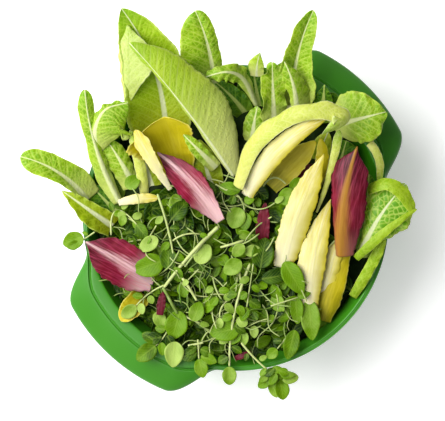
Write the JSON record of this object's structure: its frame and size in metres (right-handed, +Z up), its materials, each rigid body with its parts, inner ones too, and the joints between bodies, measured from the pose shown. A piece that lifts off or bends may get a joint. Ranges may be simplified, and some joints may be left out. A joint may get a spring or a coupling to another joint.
{
  "type": "mixed leaf salad in a handled bowl",
  "caption": "Mixed leaf salad of romaine, pale and red endive and watercress, heaped in a round green plastic bowl with broad drooping rim handles.",
  "frame": {"origin": "centre of the bowl's flat foot", "axes": "+Z up, +X to the right and +Y to the back as the salad is looked down on from its front; the handles lie on the diagonal between +X and +Y"},
  "size_m": [0.3547, 0.3539, 0.1616],
  "materials": {
    "bowl_plastic": "smooth moulded plastic with a soft gloss",
    "lettuce_leaf": "stands for fresh lettuce leaf, satin, quilted between its veins",
    "endive_pale": "stands for pale endive leaf, smooth and satin with fine lengthwise ribs",
    "endive_gold": "stands for the yellow tip end of an endive leaf, satin",
    "endive_red": "stands for red endive leaf, satin, maroon with a pale midrib",
    "cress_leaf": "stands for watercress leaflets, smooth and slightly glossy",
    "cress_stem": "stands for watercress stems, smooth, pale green"
  },
  "bodies": {
    "root": {"bowl": "bowl_plastic", "lettuce_arching": "lettuce_leaf", "endive_yellow_long": "endive_pale", "romaine_back_main": "lettuce_leaf", "endive_cream_fold": "endive_pale", "red_endive_centre": "endive_red", "lettuce_green_edge": "lettuce_leaf", "endive_yellow_hood": "endive_gold", "red_endive_right": "endive_red", "endive_pale_long": "endive_pale", "lettuce_rib_right": "lettuce_leaf", "endive_pale_right": "endive_pale", "red_endive_left": "endive_red", "endive_ochre": "endive_gold", "red_endive_small": "endive_red", "endive_olive_right": "endive_gold", "lettuce_fold_right": "lettuce_leaf", "lettuce_ruffle_middle": "lettuce_leaf", "romaine_back_right": "lettuce_leaf", "lettuce_ruffle_top": "lettuce_leaf", "lettuce_bright_middle": "lettuce_leaf", "lettuce_dark_middle": "lettuce_leaf", "lettuce_peak": "lettuce_leaf", "romaine_top": "lettuce_leaf", "romaine_back_left": "lettuce_leaf", "lettuce_curl_left": "lettuce_leaf", "endive_strip_left": "endive_pale", "lettuce_left_broad": "lettuce_leaf", "romaine_left_tall": "lettuce_leaf", "romaine_left": "lettuce_leaf", "lettuce_left_low": "lettuce_leaf", "lettuce_stub_right": "lettuce_leaf", "lettuce_round_right": "lettuce_leaf", "lettuce_curl_right": "lettuce_leaf", "lettuce_stem_right": "lettuce_leaf", "lettuce_low_right": "lettuce_leaf", "endive_band_left": "endive_pale", "endive_end_low_left": "endive_pale", "cress_sprig_front": "cress_leaf", "salad_heap": "cress_leaf"}
  },
  "joints": []
}
